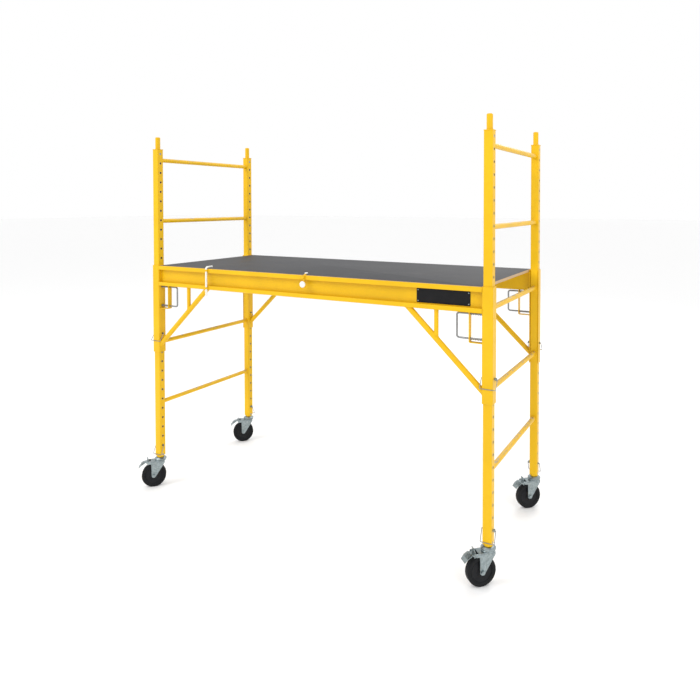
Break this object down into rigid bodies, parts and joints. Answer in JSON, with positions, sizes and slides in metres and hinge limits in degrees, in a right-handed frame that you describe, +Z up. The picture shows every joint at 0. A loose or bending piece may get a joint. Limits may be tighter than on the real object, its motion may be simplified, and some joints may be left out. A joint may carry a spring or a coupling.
{
  "type": "baker scaffold",
  "caption": "Rolling baker scaffold: ladder end frames, a platform on side beams pinned at a chosen height, diagonal braces, sprung U pins and braked swivel casters.",
  "frame": {"origin": "on the floor, midway between the four posts", "axes": "+X along the platform, +Y from front to rear, +Z up"},
  "size_m": [1.9812, 0.8496, 1.886],
  "materials": {
    "yellow_frame": "satin powder coat with light scuffs",
    "zinc_fitting": "bright zinc plate",
    "steel_rod": "zinc-plated drawn rod",
    "spring_wire": "zinc-plated spring wire",
    "film_faced_ply": "dark film-faced plywood, low sheen",
    "timber_cleat": "raw planed softwood",
    "label_plate": "plain black plate",
    "white_latch": "white coated rod",
    "black_wheel": "matte moulded rubber tread on a plastic hub"
  },
  "bodies": {
    "scaffold_frame": {"post_front_left": "yellow_frame", "post_front_right": "yellow_frame", "post_rear_left": "yellow_frame", "post_rear_right": "yellow_frame", "post_top_plates": "yellow_frame", "coupling_pins": "yellow_frame", "foot_collars": "yellow_frame", "rungs_left": "yellow_frame", "rungs_right": "yellow_frame", "beam_front": "yellow_frame", "beam_rear": "yellow_frame", "end_channels_front": "yellow_frame", "end_channels_rear": "yellow_frame", "braces": "yellow_frame", "struts": "yellow_frame", "pin_brackets_front": "yellow_frame", "pin_brackets_rear": "yellow_frame", "deck_panel": "film_faced_ply", "deck_cleats": "timber_cleat", "deck_screws": "zinc_fitting", "label_plate": "label_plate", "label_rivets": "zinc_fitting", "latch_guides": "yellow_frame", "u_pin_springs_front_left": "spring_wire", "u_pin_springs_front_right": "spring_wire", "u_pin_springs_rear_left": "spring_wire", "u_pin_springs_rear_right": "spring_wire", "truss_lock_pins": "zinc_fitting", "caster_lock_pins": "zinc_fitting", "caster_stems": "zinc_fitting"},
    "caster_swivel_front_left": {"caster_fork_front_left": "zinc_fitting", "caster_axle_front_left": "zinc_fitting"},
    "caster_wheel_front_left": {"caster_wheel_front_left": "black_wheel"},
    "caster_brake_front_left": {"caster_brake_front_left": "zinc_fitting"},
    "u_pin_front_left": {"u_pin_front_left": "steel_rod"},
    "truss_bail_front_left": {"truss_bail_front_left": "steel_rod"},
    "caster_bail_front_left": {"caster_bail_front_left": "steel_rod"},
    "caster_swivel_front_right": {"caster_fork_front_right": "zinc_fitting", "caster_axle_front_right": "zinc_fitting"},
    "caster_wheel_front_right": {"caster_wheel_front_right": "black_wheel"},
    "caster_brake_front_right": {"caster_brake_front_right": "zinc_fitting"},
    "u_pin_front_right": {"u_pin_front_right": "steel_rod"},
    "truss_bail_front_right": {"truss_bail_front_right": "steel_rod"},
    "caster_bail_front_right": {"caster_bail_front_right": "steel_rod"},
    "caster_swivel_rear_left": {"caster_fork_rear_left": "zinc_fitting", "caster_axle_rear_left": "zinc_fitting"},
    "caster_wheel_rear_left": {"caster_wheel_rear_left": "black_wheel"},
    "caster_brake_rear_left": {"caster_brake_rear_left": "zinc_fitting"},
    "u_pin_rear_left": {"u_pin_rear_left": "steel_rod"},
    "truss_bail_rear_left": {"truss_bail_rear_left": "steel_rod"},
    "caster_bail_rear_left": {"caster_bail_rear_left": "steel_rod"},
    "caster_swivel_rear_right": {"caster_fork_rear_right": "zinc_fitting", "caster_axle_rear_right": "zinc_fitting"},
    "caster_wheel_rear_right": {"caster_wheel_rear_right": "black_wheel"},
    "caster_brake_rear_right": {"caster_brake_rear_right": "zinc_fitting"},
    "u_pin_rear_right": {"u_pin_rear_right": "steel_rod"},
    "truss_bail_rear_right": {"truss_bail_rear_right": "steel_rod"},
    "caster_bail_rear_right": {"caster_bail_rear_right": "steel_rod"},
    "deck_latch": {"deck_latch": "white_latch"},
    "deck_clip": {"deck_clip": "white_latch"}
  },
  "joints": [
    {"name": "swivel_front_left", "type": "hinge", "parent": "scaffold_frame", "child": "caster_swivel_front_left", "pos_m": [-0.925, -0.362, 0.14], "axis": [0, 0, 1], "continuous": true},
    {"name": "wheel_roll_front_left", "type": "hinge", "parent": "caster_swivel_front_left", "child": "caster_wheel_front_left", "pos_m": [-0.94904, -0.38604, 0.0625], "axis": [-0.7071, 0.7071, 0], "continuous": true},
    {"name": "brake_press_front_left", "type": "hinge", "parent": "caster_swivel_front_left", "child": "caster_brake_front_left", "pos_m": [-0.97025, -0.40725, 0.134], "axis": [0.7071, -0.7071, 0], "range_deg": [0, 18]},
    {"name": "u_pin_pull_front_left", "type": "slide", "parent": "scaffold_frame", "child": "u_pin_front_left", "axis": [1, 0, 0], "range_m": [0, 0.036], "stiffness_N_per_m": 1200, "springref_m": -0.008, "deforming": ["u_pin_springs_front_left"]},
    {"name": "truss_bail_lift_front_left", "type": "hinge", "parent": "scaffold_frame", "child": "truss_bail_front_left", "pos_m": [-0.925, -0.362, 0.8316], "axis": [-1, 0, 0], "range_deg": [0, 112]},
    {"name": "caster_bail_lift_front_left", "type": "hinge", "parent": "scaffold_frame", "child": "caster_bail_front_left", "pos_m": [-0.925, -0.362, 0.222], "axis": [-1, 0, 0], "range_deg": [0, 112]},
    {"name": "swivel_front_right", "type": "hinge", "parent": "scaffold_frame", "child": "caster_swivel_front_right", "pos_m": [0.925, -0.362, 0.14], "axis": [0, 0, 1], "continuous": true},
    {"name": "wheel_roll_front_right", "type": "hinge", "parent": "caster_swivel_front_right", "child": "caster_wheel_front_right", "pos_m": [0.90096, -0.38604, 0.0625], "axis": [-0.7071, 0.7071, 0], "continuous": true},
    {"name": "brake_press_front_right", "type": "hinge", "parent": "caster_swivel_front_right", "child": "caster_brake_front_right", "pos_m": [0.87974, -0.40725, 0.134], "axis": [0.7071, -0.7071, 0], "range_deg": [0, 18]},
    {"name": "u_pin_pull_front_right", "type": "slide", "parent": "scaffold_frame", "child": "u_pin_front_right", "axis": [-1, 0, 0], "range_m": [0, 0.036], "stiffness_N_per_m": 1200, "springref_m": -0.008, "deforming": ["u_pin_springs_front_right"]},
    {"name": "truss_bail_lift_front_right", "type": "hinge", "parent": "scaffold_frame", "child": "truss_bail_front_right", "pos_m": [0.925, -0.362, 0.8316], "axis": [-1, 0, 0], "range_deg": [0, 112]},
    {"name": "caster_bail_lift_front_right", "type": "hinge", "parent": "scaffold_frame", "child": "caster_bail_front_right", "pos_m": [0.925, -0.362, 0.222], "axis": [-1, 0, 0], "range_deg": [0, 112]},
    {"name": "swivel_rear_left", "type": "hinge", "parent": "scaffold_frame", "child": "caster_swivel_rear_left", "pos_m": [-0.925, 0.362, 0.14], "axis": [0, 0, 1], "continuous": true},
    {"name": "wheel_roll_rear_left", "type": "hinge", "parent": "caster_swivel_rear_left", "child": "caster_wheel_rear_left", "pos_m": [-0.94904, 0.33796, 0.0625], "axis": [-0.7071, 0.7071, 0], "continuous": true},
    {"name": "brake_press_rear_left", "type": "hinge", "parent": "caster_swivel_rear_left", "child": "caster_brake_rear_left", "pos_m": [-0.97025, 0.31674, 0.134], "axis": [0.7071, -0.7071, 0], "range_deg": [0, 18]},
    {"name": "u_pin_pull_rear_left", "type": "slide", "parent": "scaffold_frame", "child": "u_pin_rear_left", "axis": [1, 0, 0], "range_m": [0, 0.036], "stiffness_N_per_m": 1200, "springref_m": -0.008, "deforming": ["u_pin_springs_rear_left"]},
    {"name": "truss_bail_lift_rear_left", "type": "hinge", "parent": "scaffold_frame", "child": "truss_bail_rear_left", "pos_m": [-0.925, 0.362, 0.8316], "axis": [1, 0, 0], "range_deg": [0, 112]},
    {"name": "caster_bail_lift_rear_left", "type": "hinge", "parent": "scaffold_frame", "child": "caster_bail_rear_left", "pos_m": [-0.925, 0.362, 0.222], "axis": [1, 0, 0], "range_deg": [0, 112]},
    {"name": "swivel_rear_right", "type": "hinge", "parent": "scaffold_frame", "child": "caster_swivel_rear_right", "pos_m": [0.925, 0.362, 0.14], "axis": [0, 0, 1], "continuous": true},
    {"name": "wheel_roll_rear_right", "type": "hinge", "parent": "caster_swivel_rear_right", "child": "caster_wheel_rear_right", "pos_m": [0.90096, 0.33796, 0.0625], "axis": [-0.7071, 0.7071, 0], "continuous": true},
    {"name": "brake_press_rear_right", "type": "hinge", "parent": "caster_swivel_rear_right", "child": "caster_brake_rear_right", "pos_m": [0.87974, 0.31674, 0.134], "axis": [0.7071, -0.7071, 0], "range_deg": [0, 18]},
    {"name": "u_pin_pull_rear_right", "type": "slide", "parent": "scaffold_frame", "child": "u_pin_rear_right", "axis": [-1, 0, 0], "range_m": [0, 0.036], "stiffness_N_per_m": 1200, "springref_m": -0.008, "deforming": ["u_pin_springs_rear_right"]},
    {"name": "truss_bail_lift_rear_right", "type": "hinge", "parent": "scaffold_frame", "child": "truss_bail_rear_right", "pos_m": [0.925, 0.362, 0.8316], "axis": [1, 0, 0], "range_deg": [0, 112]},
    {"name": "caster_bail_lift_rear_right", "type": "hinge", "parent": "scaffold_frame", "child": "caster_bail_rear_right", "pos_m": [0.925, 0.362, 0.222], "axis": [1, 0, 0], "range_deg": [0, 112]},
    {"name": "deck_latch_turn", "type": "hinge", "parent": "scaffold_frame", "child": "deck_latch", "pos_m": [-0.556, -0.3905, 1.15], "axis": [0, 0, 1], "range_deg": [0, 90]},
    {"name": "deck_clip_turn", "type": "hinge", "parent": "scaffold_frame", "child": "deck_clip", "pos_m": [0.044, -0.3895, 1.15], "axis": [0, 0, 1], "range_deg": [0, 90]}
  ]
}
